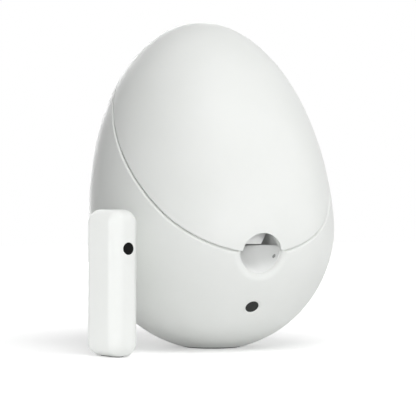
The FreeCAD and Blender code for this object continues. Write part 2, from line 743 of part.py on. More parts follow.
# ---- Dispensing drum -----------------------------------------------------------------------------
drum = cylinder(drum_radius, -drum_half_width, drum_half_width, X_AXIS)
for index in range(pocket_count):
    turn = math.radians(45 + 360 / pocket_count * index)
    place = Vector(0, pocket_place * math.cos(turn), pocket_place * math.sin(turn))
    drum = drum.cut(cylinder(pocket_radius, -drum_half_width - 1, drum_half_width + 1, X_AXIS, place))
drum = drum.cut(cylinder(drum_shaft_radius + 0.02, -FAR, FAR, X_AXIS))
parts["treat_drum"] = on_drum(drum)
parts["drum_shaft"] = on_drum(cylinder(drum_shaft_radius, -plate_outer - 1.4, shaft_end, X_AXIS))
bushing_radius = drum_shaft_radius + 1.5
bushings = []
for side in (-1, 1):
    ends = sorted((side * (plate_inner + 0.1), side * plate_outer))
    flange = sorted((side * plate_outer, side * (plate_outer + 0.8)))
    bush = joined(cylinder(bushing_radius, ends[0], ends[1], X_AXIS),
                  cylinder(bushing_radius + 1.1, flange[0], flange[1], X_AXIS))
    bushings.append(on_drum(bush.cut(cylinder(drum_shaft_radius + bush_gap, -FAR, FAR, X_AXIS))))
parts["drum_bushings"] = Part.makeCompound(bushings)
parts["drum_hood"] = drum_sector(casing_inner, casing_outer, -hood_start, hood_end, cheek_inner - 0.1)

# ---- Gears and feed motor ------------------------------------------------------------------------
mesh_angle = -pinion_direction          # direction from the drum to the pinion in the YZ plane


def geared(teeth, bore, angle, y, z):
    """Gear about X with a tooth centred at an angle in the YZ plane, from +Y towards +Z."""
    flat = gear(teeth, gear_width, bore)
    flat.rotate(Vector(0, 0, 0), Z_AXIS, angle)
    facing = Placement(Vector(gear_start, y, z), Rotation(Y_AXIS, 90).multiply(Rotation(Z_AXIS, 90)))
    return placed(flat, facing)


parts["drum_gear"] = geared(gear_teeth, drum_shaft_radius + 0.02, mesh_angle, drum_y, drum_z)
pinion_phase = mesh_angle + 180 + 180 / pinion_teeth
parts["feed_pinion"] = geared(pinion_teeth, motor_shaft_radius + 0.02, pinion_phase, pinion_y, pinion_z)
pinion_centre = Vector(0, pinion_y, pinion_z)
motor_face = plate_inner - seat_gap
motor = cylinder(motor_radius, motor_face - motor_length, motor_face, X_AXIS, pinion_centre)
motor_ring = cylinder(motor_radius + 1, motor_face - 9.6, motor_face - 9.0, X_AXIS, pinion_centre)
motor = motor.cut(motor_ring.cut(cylinder(motor_radius - 0.4, -FAR, FAR, X_AXIS, pinion_centre)))
motor_boss = cylinder(2.0, motor_face - 1, motor_face + 1.2, X_AXIS, pinion_centre)
parts["feed_motor"] = joined(motor, motor_boss).cut(
    cylinder(motor_shaft_radius + bush_gap, motor_face - 8.1, FAR, X_AXIS, pinion_centre))
parts["feed_motor_shaft"] = cylinder(motor_shaft_radius, motor_face - 8.0, gear_start + gear_width + 0.8,
                                     X_AXIS, pinion_centre)
motor_screw_places = []
for side in (-1, 1):
    turn = math.radians(mesh_angle + 90)
    motor_screw_places.append((pinion_y + side * 4.0 * math.cos(turn),
                               pinion_z + side * 4.0 * math.sin(turn)))

# ---- Side plates of the mechanism ----------------------------------------------------------------
def plate_form(with_motor):
    form = prism([from_exit(place) for place in plate_outline], "x", plate_inner, plate_outer)
    form = form.fuse(cylinder(casing_outer + 0.6, plate_inner, plate_outer, X_AXIS, drum_axis))
    if with_motor:
        form = form.fuse(cylinder(motor_radius + 2.5, plate_inner, plate_outer, X_AXIS, pinion_centre))
        neck = [(drum_y, drum_z - 8), (drum_y + 14, drum_z - 8), (pinion_y + 7, pinion_z + 4),
                (pinion_y - 2, pinion_z - 8), from_exit((32.36, 4.73))]
        form = form.fuse(prism(neck, "x", plate_inner, plate_outer))
    return form.removeSplitter()


chute_screws_at = [from_exit(place) for place in chute_screw_places]
servo_shaft_radius = 2.0
servo_boss_radius = 4.0
servo_top = kicker_z + servo_width / 2
servo_low = servo_top - servo_length
servo_screw_places = [(kicker_y, servo_top + servo_tab / 2), (kicker_y, servo_low - servo_tab / 2)]

right_plate = plate_form(True)
left_plate = placed(plate_form(False), Placement(Vector(-plate_inner - plate_outer, 0, 0), Rotation()))
for y, z in servo_screw_places:
    standoff = cylinder(2.2, -plate_outer - servo_standoff, -plate_inner, X_AXIS, Vector(0, y, z))
    left_plate = left_plate.fuse(standoff)
plate_cuts = [cylinder(bushing_radius + 0.02, -FAR, FAR, X_AXIS, drum_axis)]
for y, z in frame_screw_places:
    plate_cuts.append(cylinder(frame_clearance_radius, -FAR, FAR, X_AXIS, Vector(0, y, z)))
for y, z in chute_screws_at:
    plate_cuts.append(cylinder(frame_clearance_radius, -FAR, FAR, X_AXIS, Vector(0, y, z)))
for cut in plate_cuts:
    right_plate = right_plate.cut(cut)
    left_plate = left_plate.cut(cut)
right_plate = right_plate.cut(cylinder(kicker_shaft_radius + bush_gap, 0, FAR, X_AXIS, kicker_axis))
right_plate = right_plate.cut(cylinder(2.1, 0, FAR, X_AXIS, pinion_centre))
for y, z in motor_screw_places:
    right_plate = right_plate.cut(cylinder(0.9, 0, FAR, X_AXIS, Vector(0, y, z)))
left_plate = left_plate.cut(cylinder(servo_boss_radius + 0.15, -FAR, 0, X_AXIS, kicker_axis))
for y, z in servo_screw_places:
    left_plate = left_plate.cut(cylinder(frame_pilot_radius, -plate_outer - 5, -plate_inner - 0.6, X_AXIS,
                                         Vector(0, y, z)))
parts["right_side_plate"] = right_plate
parts["left_side_plate"] = left_plate
side_screw_set = []
for side in (-1, 1):
    side_screw_set += side_screws(frame_screw_places, plate_outer + 0.01, frame_screw_length, side)
parts["side_plate_screws"] = Part.makeCompound(side_screw_set)

# ---- Kicker --------------------------------------------------------------------------------------
kicker_low = chute_top + kicker_gap
kicker_shoulder = kicker_z - kicker_shoulder_drop
flap_outline = [(-kicker_low_half, kicker_low), (kicker_low_half, kicker_low),
                (kicker_half, kicker_shoulder), (kicker_half, kicker_z),
                (-kicker_half, kicker_z), (-kicker_half, kicker_shoulder)]
flap_front = kicker_y - kicker_thickness / 2
flap_corners = [Vector(x, flap_front, z) for x, z in flap_outline + flap_outline[:1]]
flap_face = Part.Face(Part.makePolygon(flap_corners))
flap = flap_face.extrude(Vector(0, kicker_thickness, 0))
flap = joined(flap, cylinder(kicker_boss_radius, -kicker_half, kicker_half, X_AXIS, kicker_axis))
spline_start = -kicker_half + 1.6
flap = flap.cut(cylinder(servo_shaft_radius + 0.02, -FAR, spline_start, X_AXIS, kicker_axis))
flap = flap.cut(cylinder(kicker_shaft_radius + 0.02, spline_start - 1, FAR, X_AXIS, kicker_axis))
parts["kicker_flap"] = flap
parts["kicker_shaft"] = cylinder(kicker_shaft_radius, spline_start + 0.2, plate_outer + 0.9, X_AXIS,
                                 kicker_axis)
servo_depth = (-servo_face - servo_height, -servo_face)
servo = block(servo_depth[0], servo_depth[1], kicker_y - servo_width / 2, kicker_y + servo_width / 2,
              servo_low, servo_top)
tab_start = -plate_outer - servo_standoff - seat_gap
servo_tabs = block(tab_start - servo_tab_thickness, tab_start, kicker_y - servo_width / 2,
                   kicker_y + servo_width / 2, servo_low - servo_tab, servo_top + servo_tab)
servo_boss = cylinder(servo_boss_radius, -servo_face - 1, -plate_inner, X_AXIS, kicker_axis)
servo_spline = cylinder(servo_shaft_radius - 0.02, -servo_face - 1, spline_start - 0.1, X_AXIS, kicker_axis)
servo = joined(servo, servo_tabs, servo_boss, servo_spline)
for y, z in servo_screw_places:
    servo = servo.cut(cylinder(frame_clearance_radius, -FAR, 0, X_AXIS, Vector(0, y, z)))
parts["kicker_servo"] = servo
parts["servo_screws"] = Part.makeCompound(
    side_screws(servo_screw_places, -(tab_start - servo_tab_thickness) + 0.01, 5.0, -1))

# ---- Chute ---------------------------------------------------------------------------------------
chute_half = plate_inner - seat_gap
chute = chute_bar(exit_radius + chute_wall)
block_start, block_low = from_exit((chute_block_start, chute_block_rise))
block_end = exit_point.y + chute_block_end
chute = chute.fuse(block(-chute_half, chute_half, block_start, block_end, block_low, FAR))
chute = chute.common(block(-FAR, FAR, -FAR, exit_point.y + chute_length, 0, chute_top))
chute = chute.common(egg(wall + loose_gap)).common(seam_slab(-FAR, seam_low - 0.4))
chute = chute.cut(chute_bar(exit_radius))
sensor_axis = Vector(0, *from_exit(sensor_place))
sensor_bar = cylinder(sensor_radius, exit_radius * 0.6, chute_half - 0.5, X_AXIS, sensor_axis)
sensor_hole = cylinder(sensor_radius + 0.03, 0, chute_half - 0.47, X_AXIS, sensor_axis)
chute = chute.cut(sensor_hole).cut(mirrored(sensor_hole))
chute_screw_length = plate_thickness + 3.6
for side in (-1, 1):
    for y, z in chute_screws_at:
        ends = sorted((side * (plate_outer - chute_screw_length - 0.1), side * FAR / 4))
        chute = chute.cut(cylinder(frame_pilot_radius, ends[0], ends[1], X_AXIS, Vector(0, y, z)))
parts["chute"] = chute
sensor = sensor_bar.cut(chute_bar(exit_radius + 0.02))
parts["treat_sensors"] = Part.makeCompound([sensor, mirrored(sensor)])
chute_screw_set = []
for side in (-1, 1):
    chute_screw_set += side_screws(chute_screws_at, plate_outer + 0.01, chute_screw_length, side)
parts["chute_screws"] = Part.makeCompound(chute_screw_set)
parts["feed_motor_screws"] = Part.makeCompound(
    [placed(screw(plate_thickness - 0.1, head=1.5, shank=0.8, height=0.8),
            Placement(Vector(plate_outer + 0.01, y, z), Rotation(Y_AXIS, 90)))
     for y, z in motor_screw_places])

# ---- Cowl over the mechanism ---------------------------------------------------------------------
cowl_low = deck_top + 0.02


def cowl_form(shrink, low):
    box = block(cowl_left + shrink, cowl_right - shrink, -FAR, cowl_back - shrink, low, cowl_top - shrink)
    box = sized_fillet(box, cowl_round - shrink,
                       lambda edge: edge.BoundBox.YMax > -FAR + 1 and edge.BoundBox.ZMax > low + 1)
    return placed(box, seam_frame).common(egg(cowl_inset + shrink))


cowl = cowl_form(0.0, cowl_low).cut(cowl_form(cowl_wall, cowl_low - 30))
throat_top = seam_point(0, drum_y, drum_z + casing_outer).z + 1.0
tunnel_front = casing_middle.y + casing_outer + loose_gap
tunnel_half = cheek_inner + cowl_wall
tunnel = seam_slab(cowl_low, throat_top + cowl_wall, tunnel_front, cowl_back - 0.2,
                   -tunnel_half, tunnel_half)
tab_top = cowl_low + cowl_tab_thickness
tabs = [seam_bar(cowl_tab_half, cowl_low, tab_top, x, y) for x, y in cowl_screws_at]
side_spans = ((cowl_left - cowl_tab_reach, cowl_left + 1), (cowl_right - 1, cowl_right + cowl_tab_reach))
for start, end in side_spans:
    tabs.append(seam_slab(cowl_low, tab_top, cowl_side_line - cowl_tab_half,
                          cowl_side_line + cowl_tab_half, start, end))
for x in (cowl_rear_left, cowl_rear_right):
    tabs.append(seam_slab(cowl_low, tab_top, cowl_back - 1, cowl_back + cowl_tab_reach,
                          x - cowl_tab_half, x + cowl_tab_half))
cowl = cowl.multiFuse([tunnel] + tabs)
cowl = cowl.cut(seam_slab(-FAR, throat_top, casing_middle.y, FAR, -cheek_inner, cheek_inner))
cowl = cowl.cut(placed(cylinder(exit_radius + collar_wall + 1.2, -3 * collar_depth, FAR / 4), exit_frame))
for x, y in cowl_screws_at:
    cowl = cowl.cut(seam_bar(screw_radius + 0.15, -FAR, cowl_low + 4, x, y))
parts["mechanism_cowl"] = cowl
wiper_half = cheek_inner - 0.3
wiper_front = tunnel_front + 0.4
parts["drum_wiper"] = seam_slab(wiper_low, throat_top - 0.02, wiper_front, wiper_front + wiper_thickness,
                                -wiper_half, wiper_half)
parts["cowl_screws"] = Part.makeCompound(
    [placed(screw(4.2), seam_frame.multiply(Placement(Vector(x, y, tab_top + 0.01), Rotation())))
     for x, y in cowl_screws_at])

# ---- Camera in the egg ---------------------------------------------------------------------------
window = wall_bar(camera_drop, camera_turn, camera_window_radius, -camera_window_seat + 0.02, 1)
parts["camera_window"] = window.common(egg(camera_dish_depth - 0.2))
lens = wall_bar(camera_drop, camera_turn, camera_lens_radius, -camera_board_top + 0.01,
                -camera_window_seat - 0.2)
lens_dish = wall_bar(camera_drop, camera_turn, camera_lens_radius * 0.6, -camera_window_seat - 1.4, 1)
parts["camera_lens"] = lens.cut(lens_dish)
half = camera_board_size / 2
board = block(-half, half, -half, half, -camera_board_top - board_thickness, -camera_board_top - 0.01)
board = on_wall(camera_drop, camera_turn, board)
for x, y in camera_places:
    board = board.cut(wall_bar(camera_drop, camera_turn, board_clearance_radius, -FAR / 8, 0, x, y))
parts["camera_board"] = board


def board_screws(drop, turn, places, level, length):
    """Small screws from the inside towards the round wall; level is the depth of the head seat."""
    body = screw(length, head=1.7, shank=board_screw_radius, height=1.0)
    flip = Rotation(X_AXIS, 180)
    return [on_wall(drop, turn, placed(body, Placement(Vector(x, y, -level - 0.01), flip)))
            for x, y in places]


parts["camera_board_screws"] = Part.makeCompound(
    board_screws(camera_drop, camera_turn, camera_places, camera_board_top + board_thickness, 4.5))

# ---- Speaker, power jack, pairing button and status light ----------------------------------------
speaker_low = speaker_seat + 0.05
ear_reach = speaker_radius + 4.4
speaker_ears = block(-ear_reach, ear_reach, -2.6, 2.6, -speaker_low - 1.6, -speaker_low)
speaker = joined(
    wall_bar(speaker_drop, 0, speaker_radius + 1.2, -speaker_low - 1.6, -speaker_low),
    wall_bar(speaker_drop, 0, speaker_radius - 4, -speaker_low - speaker_depth, -speaker_low - 1),
    on_wall(speaker_drop, 0, speaker_ears))
for x, y in speaker_places:
    speaker = speaker.cut(wall_bar(speaker_drop, 0, board_clearance_radius, -FAR / 8, 0, x, y))
parts["speaker"] = speaker
parts["speaker_screws"] = Part.makeCompound(
    board_screws(speaker_drop, 0, speaker_places, speaker_low + 1.6, 4.8))
jack = wall_bar(jack_drop, 0, jack_radius, -jack_length, -0.5)
jack = jack.cut(wall_bar(jack_drop, 0, jack_bore_radius, -jack_length + 3, 1))
jack = joined(jack, wall_bar(jack_drop, 0, jack_pin_radius, -jack_length + 2, -2.0),
              wall_bar(jack_drop, 0, jack_radius + 1.6, -jack_length, -9.1))
parts["power_jack"] = jack
cap = wall_bar(button_drop, button_turn, button_radius, -wall - 1.6, button_proud)
cap = sized_fillet(cap, 0.5, lambda edge: isinstance(edge.Curve, Part.Circle)
                   and (edge.Curve.Center - egg_centre).Length > egg_radius)
cap_flange = wall_bar(button_drop, button_turn, button_radius + 0.9, -wall - 2.2, -wall - 1.0)
stem_end = 6.6
cap_stem = wall_bar(button_drop, button_turn, 1.4, -stem_end, -wall - 2.0)
parts["pair_button"] = joined(cap, cap_flange, cap_stem)
switch_low = stem_end + button_travel + 0.15
switch_box = block(-3, 3, -3, 3, -button_board_top - 0.02, -switch_low - 0.6)
switch = on_wall(button_drop, button_turn, switch_box)
switch = joined(switch, wall_bar(button_drop, button_turn, 1.5, -switch_low - 1, -switch_low))
parts["pair_switch"] = switch
button_board = on_wall(button_drop, button_turn,
                       block(-8, light_offset + 6.5, -7, 7, -button_board_top - 0.05 - board_thickness,
                             -button_board_top - 0.05))
for x, y in button_board_places:
    button_board = button_board.cut(wall_bar(button_drop, button_turn, board_clearance_radius,
                                             -FAR / 8, 0, x, y))
parts["button_board"] = button_board
parts["button_board_screws"] = Part.makeCompound(
    board_screws(button_drop, button_turn, button_board_places,
                 button_board_top + 0.05 + board_thickness, 4.5))
parts["status_light"] = wall_bar(button_drop, button_turn, light_radius,
                                 -button_board_top - 0.03, 0.15, light_offset)

# ---- Main board ----------------------------------------------------------------------------------
half_width = main_board_width / 2
half_height = main_board_height / 2
board = block(-half_width, half_width, main_board_y, main_board_y + board_thickness,
              main_board_z - half_height, main_board_z + half_height)
chips = [(-14, -4, 12, 12), (6, -6, 9, 14),
         (10 - half_width, half_height - 10, 14, 7), (half_width - 18, half_height - 9, 16, 6)]
for x, z, width, height in chips:
    board = board.fuse(block(x - width / 2, x + width / 2, main_board_y - 1.6, main_board_y + 0.2,
                             main_board_z + z - height / 2, main_board_z + z + height / 2))
for x, z in board_places:
    board = board.cut(cylinder(screw_radius + 0.15, 0, FAR, Y_AXIS, Vector(x, 0, z)))
parts["main_board"] = board
parts["main_board_screws"] = Part.makeCompound(
    [placed(screw(6.5), Placement(Vector(x, main_board_y - 0.01, z), Rotation(X_AXIS, 90)))
     for x, z in board_places])

# ---- Ballast and foot pad ------------------------------------------------------------------------
ballast = cylinder(ballast_radius, ballast_low, ballast_low + ballast_thickness).common(egg(wall + 1.5))
for x, y in ballast_places:
    ballast = ballast.cut(cylinder(screw_radius + 0.2, 0, FAR, Z_AXIS, Vector(x, y, 0)))
parts["ballast_weight"] = ballast
parts["ballast_screws"] = Part.makeCompound(
    [moved(screw(ballast_thickness + 4.5), x, y, ballast_low + ballast_thickness + 0.01)
     for x, y in ballast_places])
parts["foot_pad"] = cylinder(foot_pad_radius, 0, foot_proud + foot_pad_depth - seat_gap)

# ---- Camera unit: an upright rounded case, closed from below -------------------------------------
def unit_form(inset):
    """The unit's outer form drawn in by inset."""
    half_width = unit_width / 2 - inset
    half_depth = unit_depth / 2 - inset
    box = block(-half_width, half_width, -half_depth, half_depth, inset, unit_height - inset)
    upright = [edge for edge in box.Edges if edge.BoundBox.ZLength > 1]
    box = box.makeFillet(unit_edge_round - inset, upright)
    ends = [edge for edge in box.Edges if edge.BoundBox.ZLength < 1e-3]
    return box.makeFillet(unit_end_round - inset, ends)


unit_solid = unit_form(0.0).cut(block(-FAR, FAR, -FAR, FAR, -FAR, unit_foot_proud))
unit_inside = unit_form(unit_wall)
unit_front = -unit_depth / 2
unit_rear = unit_depth / 2


def on_unit(shape):
    return placed(shape, unit_frame)


case = unit_solid.cut(unit_inside)
cover_top = unit_foot_proud + unit_cover_thickness
case = case.cut(slot_bar(unit_cover_width, unit_cover_length, -1, cover_top + 1))
window_seat = 0.2 + unit_window_thickness


def front_bar(radius, start, end):
    """Round bar through the front of the unit; depth counts inwards from the front face."""
    return cylinder(radius, unit_front + start, unit_front + end, Y_AXIS, Vector(0, 0, unit_lens_z))


case = case.cut(front_bar(unit_window_radius + 0.04, -1, window_seat))
case = case.cut(front_bar(unit_lens_radius + 0.1, -1, 4))
case = case.cut(cylinder(unit_button_radius + 0.12, 0, FAR / 8, Y_AXIS, Vector(0, 0, unit_button_z)))
port_turn = Placement(Vector(0, 0, unit_port_z), Rotation(X_AXIS, -90))


def port_bar(grow, start, end):
    """Slot standing upright through the rear wall."""
    bar = slot_bar(unit_port_width + 2 * grow, unit_port_height + 2 * grow, start, end)
    return placed(bar, port_turn)


case = case.cut(port_bar(0.08, 6, FAR / 8))
parts["unit_case"] = on_unit(case)
cover = slot_bar(unit_cover_width - 0.2, unit_cover_length - 0.2, -1, cover_top)
cover = cover.common(unit_solid)
pad_recess = unit_pad_thickness - unit_foot_proud
cover = cover.cut(slot_bar(unit_pad_width + 0.1, unit_pad_length + 0.1, -1, unit_foot_proud + pad_recess))
cover_screw_y = unit_cover_length / 2 - 3.4
cover_screws_at = [(0, -cover_screw_y), (0, cover_screw_y)]
for x, y in cover_screws_at:
    cover = cover.cut(cylinder(0.95, -1, 9, Z_AXIS, Vector(x, y, 0)))
    cover = cover.cut(cylinder(1.75, -1, unit_foot_proud + pad_recess + 0.8, Z_AXIS, Vector(x, y, 0)))
parts["unit_bottom_cover"] = on_unit(cover)
parts["unit_foot_pad"] = on_unit(
    slot_bar(unit_pad_width, unit_pad_length, 0, unit_pad_thickness - seat_gap))
sled_low = cover_top + seat_gap
sled_half = unit_width / 2 - unit_wall - 0.25
board_y = unit_front + window_seat + 0.3 + unit_lens_length
battery_top = unit_battery_z + unit_battery_length
sled = slot_bar(unit_cover_width - 1.0, unit_cover_length - 1.0, sled_low, sled_low + 2.4)
spine_y = (board_y + board_thickness + unit_battery_y - unit_battery_radius) / 2
spine = block(-4.0, 4.0, spine_y - 0.8, spine_y + 0.8, sled_low, battery_top + 4)
cradle_low = block(-sled_half + 1.5, sled_half - 1.5, spine_y, unit_battery_y + unit_battery_radius - 1.0,
                   unit_battery_z - 2.0, unit_battery_z - 0.2)
cradle_high = block(-sled_half + 1.5, sled_half - 1.5, spine_y, unit_battery_y + unit_battery_radius - 1.0,
                    battery_top + 0.2, battery_top + 2.0)
stake_places = [(0, unit_board_low + 5), (0, unit_board_low + unit_board_height - 9)]
stakes = []
for x, z in stake_places:
    stakes.append(cylinder(1.8, board_y + board_thickness + seat_gap, spine_y, Y_AXIS, Vector(x, 0, z)))
    stakes.append(cylinder(0.8, board_y - 0.6, spine_y, Y_AXIS, Vector(x, 0, z)))
button_stem_end = unit_rear - unit_wall - 4.0
switch_face = button_stem_end - unit_button_travel - 0.15
switch_back = switch_face - 2.6
arm = block(-3.2, 3.2, switch_back - 1.4, switch_back - seat_gap, battery_top + 0.4, unit_button_z + 3.4)
arm_foot = block(-3.2, 3.2, spine_y, switch_back - seat_gap, battery_top + 0.4, battery_top + 2.0)
port_shelf = block(-1.5, 1.5, 9.8, unit_cover_length / 2 - 0.6, sled_low + 1,
                   unit_port_z - unit_port_height / 2 - 0.05)
sled = joined(sled, spine, cradle_low, cradle_high, arm, arm_foot, port_shelf, *stakes)
for x, y in cover_screws_at:
    sled = sled.cut(cylinder(0.85, 0, sled_low + 2.2, Z_AXIS, Vector(x, y, 0)))
sled = sled.common(unit_form(unit_wall + 0.2))
parts["unit_sled"] = on_unit(sled)
parts["unit_battery"] = on_unit(joined(
    cylinder(unit_battery_radius, unit_battery_z, battery_top - 1.2, Z_AXIS, Vector(0, unit_battery_y, 0)),
    cylinder(2.4, battery_top - 2, battery_top, Z_AXIS, Vector(0, unit_battery_y, 0))))
unit_board = block(-unit_board_width / 2, unit_board_width / 2, board_y, board_y + board_thickness,
                   unit_board_low, unit_board_low + unit_board_height)
chip_y = (board_y - 1.2, board_y + 0.2)
for half, low, high in ((4, 18, 28), (5, 34, 46)):
    unit_board = unit_board.fuse(block(-half, half, chip_y[0], chip_y[1],
                                       unit_board_low + low, unit_board_low + high))
for x, z in stake_places:
    unit_board = unit_board.cut(cylinder(0.85, board_y - 2, board_y + 5, Y_AXIS, Vector(x, 0, z)))
unit_board = unit_board.common(unit_form(unit_wall + 0.3))
parts["unit_board"] = on_unit(unit_board)
lens = front_bar(unit_lens_radius, window_seat + 0.15, window_seat + 0.15 + unit_lens_length)
lens = lens.cut(front_bar(unit_lens_radius * 0.6, 0, window_seat + 1.0))
parts["unit_lens"] = on_unit(lens)
parts["unit_window"] = on_unit(front_bar(unit_window_radius, 0.2, window_seat - 0.02))
button_place = Vector(0, 0, unit_button_z)
button_back = cylinder(unit_button_radius, unit_rear - unit_wall - 1.0, unit_rear + unit_button_proud,
                       Y_AXIS, button_place)
button_flange = cylinder(unit_button_radius + 0.8, unit_rear - unit_wall - 1.9, unit_rear - unit_wall - 0.9,
                         Y_AXIS, button_place)
button_stem = cylinder(1.2, button_stem_end, unit_rear - unit_wall - 1.5, Y_AXIS, button_place)
parts["unit_button"] = on_unit(joined(button_back, button_flange, button_stem))
unit_switch_box = block(-2.6, 2.6, switch_back, switch_face - 0.6, unit_button_z - 2.6, unit_button_z + 2.6)
unit_switch = joined(cylinder(1.3, switch_face - 1, switch_face, Y_AXIS, button_place), unit_switch_box)
parts["unit_switch"] = on_unit(unit_switch)
port = port_bar(0.0, 9.6, unit_rear - 0.3).cut(port_bar(-0.4, 11, FAR / 8))
tongue = placed(block(-0.35, 0.35, -3.2, 3.2, 10, unit_rear - 1.2), port_turn)
parts["unit_port"] = on_unit(joined(port, tongue))
cover_screw = placed(screw(3.0, head=1.65, shank=0.8, height=0.7),
                     Placement(Vector(0, 0, 0), Rotation(X_AXIS, 180)))
parts["unit_screws"] = on_unit(Part.makeCompound(
    [moved(cover_screw, x, y, unit_foot_proud + pad_recess + 0.79) for x, y in cover_screws_at]))

# ---- Write every piece ---------------------------------------------------------------------------
os.makedirs("parts", exist_ok=True)
for name, shape in parts.items():
    shape.exportStep("parts/" + name + ".step")
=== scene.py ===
import bpy
import bmesh
import math
from mathutils import Matrix, Vector


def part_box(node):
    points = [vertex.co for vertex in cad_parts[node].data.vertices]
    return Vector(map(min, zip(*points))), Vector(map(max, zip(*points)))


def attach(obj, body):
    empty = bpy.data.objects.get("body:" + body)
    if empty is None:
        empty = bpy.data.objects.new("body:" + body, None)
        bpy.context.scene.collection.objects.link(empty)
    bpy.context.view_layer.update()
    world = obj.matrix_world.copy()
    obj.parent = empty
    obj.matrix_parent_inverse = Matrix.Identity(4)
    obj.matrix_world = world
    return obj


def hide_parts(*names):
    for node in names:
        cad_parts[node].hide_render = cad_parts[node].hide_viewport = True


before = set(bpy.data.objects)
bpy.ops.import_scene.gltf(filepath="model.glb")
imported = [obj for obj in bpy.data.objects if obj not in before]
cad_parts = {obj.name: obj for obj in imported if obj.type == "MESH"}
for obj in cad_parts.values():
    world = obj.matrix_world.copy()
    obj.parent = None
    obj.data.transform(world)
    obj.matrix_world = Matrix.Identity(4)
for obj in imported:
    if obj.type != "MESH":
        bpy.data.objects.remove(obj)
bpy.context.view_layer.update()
scene = bpy.context.scene

# ---- Camera --------------------------------------------------------------------------------------
# A long lens about 1.2 m away, at the height of the egg's waist and to the left of its front. It
# looks level, so upright edges stay upright.
camera_place = (-0.4663, -1.0744, 0.0953)
camera_heading = (0.3960, 0.9182)
camera_data = bpy.data.cameras.new("camera")
camera_data.lens = 147.1
camera_data.sensor_width = 36.0
camera_data.clip_start = 0.05
camera_data.clip_end = 20.0
camera = bpy.data.objects.new("camera", camera_data)
camera.location = camera_place
camera.rotation_euler = (math.radians(90), 0, math.atan2(-camera_heading[0], camera_heading[1]))
scene.collection.objects.link(camera)
scene.camera = camera

# ---- Floor and backdrop --------------------------------------------------------------------------
# A pale matt sweep under and behind the set. It shows white to the camera, to reflections and
# through clear plastic, most strongly away from the set, and keeps the soft shadow.
floor_size = 6.0
glow_near, glow_far = 0.35, 1.0    # strength of the floor's white close to the set and far off
glow_start, glow_end = 0.12, 0.6   # radii in metres between which it grows
room_light = 0.02
sweep_mesh = bpy.data.meshes.new("floor")
sweep = bmesh.new()
bmesh.ops.create_grid(sweep, x_segments=1, y_segments=1, size=floor_size / 2)
sweep.to_mesh(sweep_mesh)
sweep.free()
floor = bpy.data.objects.new("floor", sweep_mesh)
scene.collection.objects.link(floor)

floor_paper = bpy.data.materials.new("floor_paper")
floor_paper.use_nodes = True
tree = floor_paper.node_tree
tree.nodes.clear()
paper = tree.nodes.new("ShaderNodeBsdfPrincipled")
paper.inputs["Roughness"].default_value = 0.9
paper.inputs["Specular IOR Level"].default_value = 0.1
place = tree.nodes.new("ShaderNodeTexCoord").outputs["Object"]
fibre = tree.nodes.new("ShaderNodeTexNoise")
fibre.inputs["Scale"].default_value = 40.0
tone = tree.nodes.new("ShaderNodeMix")
tone.data_type = "RGBA"
tone.inputs["A"].default_value = (0.93, 0.93, 0.93, 1)
tone.inputs["B"].default_value = (0.95, 0.95, 0.95, 1)
tree.links.new(place, fibre.inputs["Vector"])
tree.links.new(fibre.outputs["Fac"], tone.inputs["Factor"])
tree.links.new(tone.outputs["Result"], paper.inputs["Base Color"])


def seen_directly(tree):
    """One for what the camera sees straight, in a reflection or through clear plastic."""
    path = tree.nodes.new("ShaderNodeLightPath")
    seen = path.outputs["Is Camera Ray"]
    for ray in ("Is Glossy Ray", "Is Transmission Ray"):
        either = tree.nodes.new("ShaderNodeMath")
        either.operation = "MAXIMUM"
        tree.links.new(seen, either.inputs[0])
        tree.links.new(path.outputs[ray], either.inputs[1])
        seen = either.outputs["Value"]
    return seen


from_middle = tree.nodes.new("ShaderNodeVectorMath")
from_middle.operation = "LENGTH"
tree.links.new(place, from_middle.inputs[0])
whitening = tree.nodes.new("ShaderNodeMapRange")
whitening.inputs["From Min"].default_value = glow_start
whitening.inputs["From Max"].default_value = glow_end
whitening.inputs["To Min"].default_value = glow_near
whitening.inputs["To Max"].default_value = glow_far
tree.links.new(from_middle.outputs["Value"], whitening.inputs["Value"])
strength = tree.nodes.new("ShaderNodeMath")
strength.operation = "MULTIPLY"
tree.links.new(seen_directly(tree), strength.inputs[0])
tree.links.new(whitening.outputs["Result"], strength.inputs[1])
glow = tree.nodes.new("ShaderNodeEmission")
tree.links.new(strength.outputs["Value"], glow.inputs["Strength"])
both = tree.nodes.new("ShaderNodeAddShader")
tree.links.new(paper.outputs["BSDF"], both.inputs[0])
tree.links.new(glow.outputs["Emission"], both.inputs[1])
tree.links.new(both.outputs["Shader"],
               tree.nodes.new("ShaderNodeOutputMaterial").inputs["Surface"])
sweep_mesh.materials.append(floor_paper)

studio = bpy.data.worlds.new("studio")
studio.use_nodes = True
scene.world = studio
tree = studio.node_tree
tree.nodes.clear()
room = tree.nodes.new("ShaderNodeBackground")
room.inputs["Color"].default_value = (1, 1, 1, 1)
room.inputs["Strength"].default_value = room_light
white = tree.nodes.new("ShaderNodeBackground")
white.inputs["Color"].default_value = (1, 1, 1, 1)
white.inputs["Strength"].default_value = 1.0
pick = tree.nodes.new("ShaderNodeMixShader")
tree.links.new(seen_directly(tree), pick.inputs["Fac"])
tree.links.new(room.outputs["Background"], pick.inputs[1])
tree.links.new(white.outputs["Background"], pick.inputs[2])
tree.links.new(pick.outputs["Shader"], tree.nodes.new("ShaderNodeOutputWorld").inputs["Surface"])


# ---- Lamps ---------------------------------------------------------------------------------------
# Large soft boxes round the set, the strongest ones in front; the rear one only lifts the back. Two
# are flagged: the side one falls on the camera unit alone, the exit one only into the treat exit.
lamp_aim = Vector((0, 0, 0.1))


